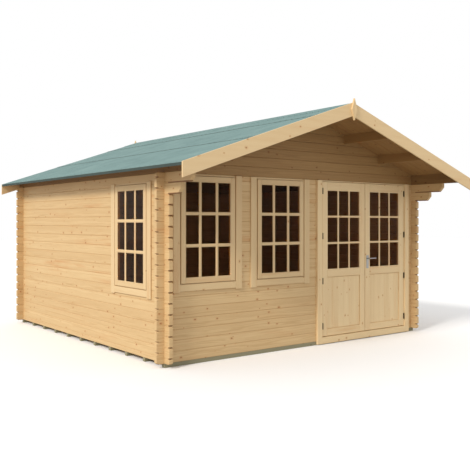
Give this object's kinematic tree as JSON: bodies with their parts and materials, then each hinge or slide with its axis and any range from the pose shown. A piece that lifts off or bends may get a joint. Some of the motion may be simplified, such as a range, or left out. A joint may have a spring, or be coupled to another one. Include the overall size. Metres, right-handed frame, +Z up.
{
  "type": "log cabin",
  "caption": "Log cabin with interlocking corner logs, a felted gable roof reaching over a porch, glazed double doors and fixed windows.",
  "frame": {"origin": "on the ground, under the middle of the roof's outline", "axes": "+Z up, -Y out of the doors, +X to the right of someone who faces the doors from outside"},
  "size_m": [4.594, 5.058, 2.9224],
  "materials": {
    "pine_logs": "untreated planed pine",
    "pine_boards": "untreated planed pine boards",
    "pine_joinery": "untreated planed pine",
    "treated_bearers": "pressure-treated, sawn",
    "roofing_felt": "mineral grit on bitumen felt",
    "window_glass": "clear, dark room behind",
    "steel_fittings": "satin"
  },
  "bodies": {
    "cabin": {"floor_bearers": "treated_bearers", "front_wall_left": "pine_logs", "front_wall_right": "pine_logs", "left_wall": "pine_logs", "right_wall": "pine_logs", "back_wall": "pine_logs", "front_gable": "pine_logs", "back_gable": "pine_logs", "left_corbel_logs": "pine_logs", "right_corbel_logs": "pine_logs", "left_eaves_log": "pine_logs", "right_eaves_log": "pine_logs", "floor_boards": "pine_boards", "ridge_purlin": "pine_boards", "left_purlins": "pine_boards", "right_purlins": "pine_boards", "left_roof_boards": "pine_boards", "right_roof_boards": "pine_boards", "left_roof_felt": "roofing_felt", "right_roof_felt": "roofing_felt", "ridge_felt": "roofing_felt", "front_left_barge_board": "pine_joinery", "front_right_barge_board": "pine_joinery", "back_left_barge_board": "pine_joinery", "back_right_barge_board": "pine_joinery", "front_finial": "pine_joinery", "back_finial": "pine_joinery", "front_window_frames": "pine_joinery", "front_window_sashes": "pine_joinery", "side_window_frame": "pine_joinery", "side_window_sash": "pine_joinery", "door_jamb_left": "pine_joinery", "door_jamb_right": "pine_joinery", "door_head": "pine_joinery", "door_sill": "pine_joinery", "front_window_glass": "window_glass", "side_window_glass": "window_glass", "left_jamb_hinges": "steel_fittings", "right_jamb_hinges": "steel_fittings"},
    "left_door": {"left_door": "pine_joinery", "left_door_glass": "window_glass", "left_door_hinges": "steel_fittings"},
    "right_door": {"right_door": "pine_joinery", "right_door_glass": "window_glass", "right_door_hinges": "steel_fittings", "door_handle_plates": "steel_fittings"},
    "door_handle": {"door_handle": "steel_fittings"}
  },
  "joints": [
    {"name": "left_door_hinge", "type": "hinge", "parent": "cabin", "child": "left_door", "pos_m": [0.2515, -1.763, 1], "axis": [0, 0, -1], "range_deg": [0, 100]},
    {"name": "right_door_hinge", "type": "hinge", "parent": "cabin", "child": "right_door", "pos_m": [1.8085, -1.763, 1], "axis": [0, 0, 1], "range_deg": [0, 100]},
    {"name": "door_handle_turn", "type": "hinge", "parent": "right_door", "child": "door_handle", "pos_m": [1.0745, -1.733, 1.044], "axis": [0, 1, 0], "range_deg": [0, 40], "stiffness_Nm_per_rad": 1.5, "springref_deg": -28.65}
  ]
}
